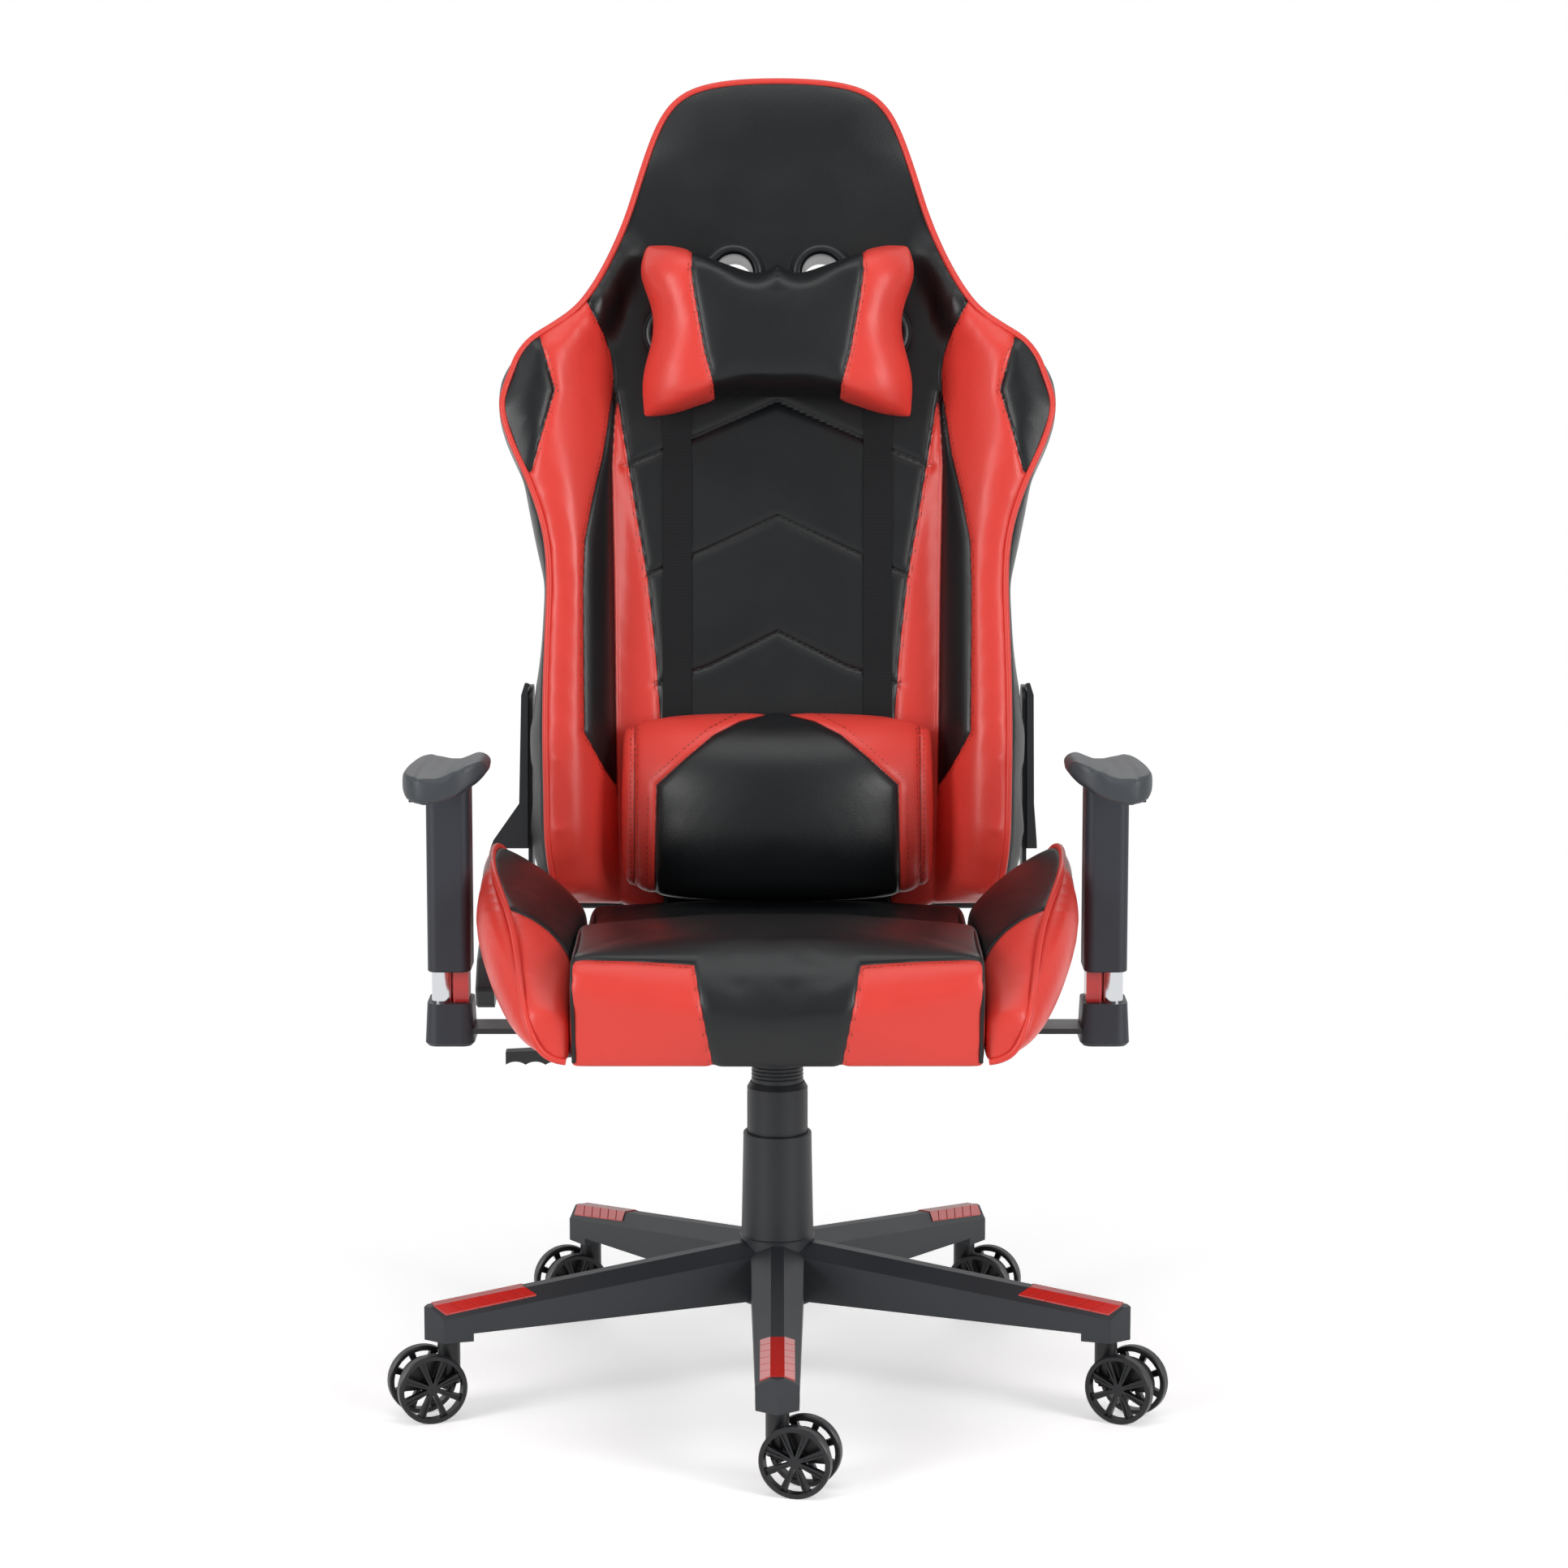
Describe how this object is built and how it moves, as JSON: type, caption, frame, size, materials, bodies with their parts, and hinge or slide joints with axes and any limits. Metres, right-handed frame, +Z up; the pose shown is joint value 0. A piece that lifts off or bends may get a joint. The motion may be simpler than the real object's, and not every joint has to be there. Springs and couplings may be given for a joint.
{
  "type": "gaming chair",
  "caption": "High-backed bucket seat on a swivelling gas column with a star base on casters, adjustable armrests, reclining back and loose pillows.",
  "frame": {"origin": "on the floor, on the axis of the swivel column", "axes": "+Z up, -Y the way the sitter faces, +X to the sitter's left"},
  "size_m": [0.7239, 0.7383, 1.2275],
  "materials": {
    "arm_plastic": "fine grained",
    "base_plastic": "fine grained",
    "bearing_steel": "bright",
    "buffer_rubber": "matte",
    "caster_plastic": "moulded nylon",
    "column_bush": "plain",
    "column_steel": "satin black",
    "cover_plastic": "fine grained",
    "gloss_insert": "glossy red",
    "grip_plastic": "fine grained",
    "lever_steel": "semi-gloss black",
    "liner_plastic": "plain",
    "mechanism_steel": "satin black",
    "pad_skin": "soft moulded",
    "panel_cloth": "woven",
    "pillow_skin": "coated fabric, red with black panels",
    "post_chrome": "mirror",
    "rail_plastic": "red",
    "upholstery": "coated fabric, black with red panels",
    "webbing": "woven strap"
  },
  "bodies": {
    "base": {"star_base": "base_plastic", "base_inserts": "gloss_insert", "stand_tube": "column_steel", "guide_bush": "column_bush", "thrust_bearing": "bearing_steel", "cover_lower": "cover_plastic"},
    "rod": {"piston_rod": "bearing_steel", "retaining_clip": "bearing_steel"},
    "lift": {"gas_cylinder": "column_steel", "cover_upper": "cover_plastic", "mechanism_housing": "mechanism_steel", "tilt_axle": "bearing_steel", "tilt_springs": "buffer_rubber"},
    "middle_cover": {"cover_middle": "cover_plastic"},
    "button": {"gas_button": "bearing_steel"},
    "rocker": {"release_rocker": "mechanism_steel"},
    "height_lever": {"height_lever": "lever_steel"},
    "knob": {"tension_knob": "grip_plastic"},
    "seat": {"seat_plate": "mechanism_steel", "seat_frame": "mechanism_steel", "seat_bolts": "bearing_steel", "seat_cushion": "upholstery", "seat_bolster_left": "upholstery", "seat_bolster_right": "upholstery", "arm_brackets": "mechanism_steel", "arm_boots": "arm_plastic", "arm_posts": "post_chrome", "arm_rails": "rail_plastic", "recliner_plates": "mechanism_steel"},
    "back": {"recliner_arms": "mechanism_steel", "recliner_covers": "arm_plastic", "back_frame": "mechanism_steel", "back_pad": "upholstery", "back_panel": "panel_cloth", "harness_liners": "liner_plastic", "straps": "webbing"},
    "recline_lever": {"recline_lever": "lever_steel"},
    "lumbar_pillow": {"lumbar_pillow": "pillow_skin"},
    "neck_pillow": {"neck_pillow": "pillow_skin"},
    "caster_1": {"caster_yoke_1": "caster_plastic"},
    "wheel_1a": {"caster_wheel_1a": "caster_plastic"},
    "wheel_1b": {"caster_wheel_1b": "caster_plastic"},
    "caster_2": {"caster_yoke_2": "caster_plastic"},
    "wheel_2a": {"caster_wheel_2a": "caster_plastic"},
    "wheel_2b": {"caster_wheel_2b": "caster_plastic"},
    "caster_3": {"caster_yoke_3": "caster_plastic"},
    "wheel_3a": {"caster_wheel_3a": "caster_plastic"},
    "wheel_3b": {"caster_wheel_3b": "caster_plastic"},
    "caster_4": {"caster_yoke_4": "caster_plastic"},
    "wheel_4a": {"caster_wheel_4a": "caster_plastic"},
    "wheel_4b": {"caster_wheel_4b": "caster_plastic"},
    "caster_5": {"caster_yoke_5": "caster_plastic"},
    "wheel_5a": {"caster_wheel_5a": "caster_plastic"},
    "wheel_5b": {"caster_wheel_5b": "caster_plastic"},
    "armrest_left": {"arm_sleeve_left": "arm_plastic", "arm_pad_left": "pad_skin"},
    "arm_trigger_left": {"arm_trigger_left": "grip_plastic"},
    "armrest_right": {"arm_sleeve_right": "arm_plastic", "arm_pad_right": "pad_skin"},
    "arm_trigger_right": {"arm_trigger_right": "grip_plastic"}
  },
  "joints": [
    {"name": "caster_1_swivel", "type": "hinge", "parent": "base", "child": "caster_1", "pos_m": [0, -0.32, 0.0745], "axis": [0, 0, 1], "continuous": true},
    {"name": "wheel_1a_roll", "type": "hinge", "parent": "caster_1", "child": "wheel_1a", "pos_m": [0.01563, -0.34282, 0.0325], "axis": [0.2588, 0.9659, 0], "continuous": true},
    {"name": "wheel_1b_roll", "type": "hinge", "parent": "caster_1", "child": "wheel_1b", "pos_m": [0.02494, -0.30805, 0.0325], "axis": [0.2588, 0.9659, 0], "continuous": true},
    {"name": "caster_2_swivel", "type": "hinge", "parent": "base", "child": "caster_2", "pos_m": [0.30434, -0.09889, 0.0745], "axis": [0, 0, 1], "continuous": true},
    {"name": "wheel_2a_roll", "type": "hinge", "parent": "caster_2", "child": "wheel_2a", "pos_m": [0.31488, -0.12446, 0.0325], "axis": [0.454, 0.891, 0], "continuous": true},
    {"name": "wheel_2b_roll", "type": "hinge", "parent": "caster_2", "child": "wheel_2b", "pos_m": [0.33122, -0.09238, 0.0325], "axis": [0.454, 0.891, 0], "continuous": true},
    {"name": "caster_3_swivel", "type": "hinge", "parent": "base", "child": "caster_3", "pos_m": [0.18809, 0.25888, 0.0745], "axis": [0, 0, 1], "continuous": true},
    {"name": "wheel_3a_roll", "type": "hinge", "parent": "caster_3", "child": "wheel_3a", "pos_m": [0.20167, 0.23479, 0.0325], "axis": [0.342, 0.9397, 0], "continuous": true},
    {"name": "wheel_3b_roll", "type": "hinge", "parent": "caster_3", "child": "wheel_3b", "pos_m": [0.21398, 0.26862, 0.0325], "axis": [0.342, 0.9397, 0], "continuous": true},
    {"name": "caster_4_swivel", "type": "hinge", "parent": "base", "child": "caster_4", "pos_m": [-0.18809, 0.25888, 0.0745], "axis": [0, 0, 1], "continuous": true},
    {"name": "wheel_4a_roll", "type": "hinge", "parent": "caster_4", "child": "wheel_4a", "pos_m": [-0.21398, 0.26862, 0.0325], "axis": [0.342, -0.9397, 0], "continuous": true},
    {"name": "wheel_4b_roll", "type": "hinge", "parent": "caster_4", "child": "wheel_4b", "pos_m": [-0.20167, 0.23479, 0.0325], "axis": [0.342, -0.9397, 0], "continuous": true},
    {"name": "caster_5_swivel", "type": "hinge", "parent": "base", "child": "caster_5", "pos_m": [-0.30434, -0.09889, 0.0745], "axis": [0, 0, 1], "continuous": true},
    {"name": "wheel_5a_roll", "type": "hinge", "parent": "caster_5", "child": "wheel_5a", "pos_m": [-0.33014, -0.08893, 0.0325], "axis": [0.3338, -0.9426, 0], "continuous": true},
    {"name": "wheel_5b_roll", "type": "hinge", "parent": "caster_5", "child": "wheel_5b", "pos_m": [-0.31812, -0.12286, 0.0325], "axis": [0.3338, -0.9426, 0], "continuous": true},
    {"name": "seat_swivel", "type": "hinge", "parent": "base", "child": "rod", "pos_m": [0, 0, 0.146], "axis": [0, 0, 1], "continuous": true},
    {"name": "gas_lift", "type": "slide", "parent": "rod", "child": "lift", "axis": [0, 0, 1], "range_m": [-0.07, 0]},
    {"name": "middle_cover_slide", "type": "slide", "parent": "base", "child": "middle_cover", "axis": [0, 0, 1], "range_m": [-0.0485, 0]},
    {"name": "button_press", "type": "slide", "parent": "lift", "child": "button", "axis": [0, 0, -1], "range_m": [0, 0.0032]},
    {"name": "height_release", "type": "hinge", "parent": "lift", "child": "rocker", "pos_m": [-0.03, 0, 0.365], "axis": [0, 1, 0], "range_deg": [0, 6], "stiffness_Nm_per_rad": 8, "springref_deg": -6.88},
    {"name": "tilt_lock", "type": "slide", "parent": "rocker", "child": "height_lever", "axis": [-1, 0, 0], "range_m": [0, 0.012]},
    {"name": "tension_turn", "type": "hinge", "parent": "lift", "child": "knob", "pos_m": [0, -0.08, 0.355], "axis": [0, 1, 0], "continuous": true},
    {"name": "seat_tilt", "type": "hinge", "parent": "lift", "child": "seat", "pos_m": [0, -0.035, 0.3645], "axis": [-1, 0, 0], "range_deg": [0, 12], "stiffness_Nm_per_rad": 90, "springref_deg": -25.78, "deforming": ["tilt_springs"]},
    {"name": "armrest_left_height", "type": "slide", "parent": "seat", "child": "armrest_left", "axis": [0, 0, 1], "range_m": [-0.028, 0.045]},
    {"name": "arm_trigger_left_press", "type": "hinge", "parent": "armrest_left", "child": "arm_trigger_left", "pos_m": [0.31515, -0.033, 0.569], "axis": [0, -1, 0], "range_deg": [0, 15], "stiffness_Nm_per_rad": 0.2, "springref_deg": -8.59},
    {"name": "armrest_right_height", "type": "slide", "parent": "seat", "child": "armrest_right", "axis": [0, 0, 1], "range_m": [-0.028, 0.045]},
    {"name": "arm_trigger_right_press", "type": "hinge", "parent": "armrest_right", "child": "arm_trigger_right", "pos_m": [-0.31515, -0.033, 0.569], "axis": [0, 1, 0], "range_deg": [0, 15], "stiffness_Nm_per_rad": 0.2, "springref_deg": -8.59},
    {"name": "back_recline", "type": "hinge", "parent": "seat", "child": "back", "pos_m": [0, 0.215, 0.426], "axis": [-1, 0, 0], "range_deg": [0, 60]},
    {"name": "recline_release", "type": "hinge", "parent": "seat", "child": "recline_lever", "pos_m": [0, 0.215, 0.426], "axis": [-1, 0, 0], "range_deg": [0, 20], "stiffness_Nm_per_rad": 8, "springref_deg": -5.73},
    {"name": "lumbar_height", "type": "slide", "parent": "back", "child": "lumbar_pillow", "axis": [0, 0.165, 0.9863], "range_m": [0, 0.1]},
    {"name": "neck_height", "type": "slide", "parent": "back", "child": "neck_pillow", "axis": [0, 0.165, 0.9863], "range_m": [-0.03, 0.05]}
  ],
  "couplings": [
    {"joint": "middle_cover_slide", "follows": "gas_lift", "ratio": 0.686},
    {"joint": "button_press", "follows": "height_release", "m_per_rad": 0.03}
  ]
}
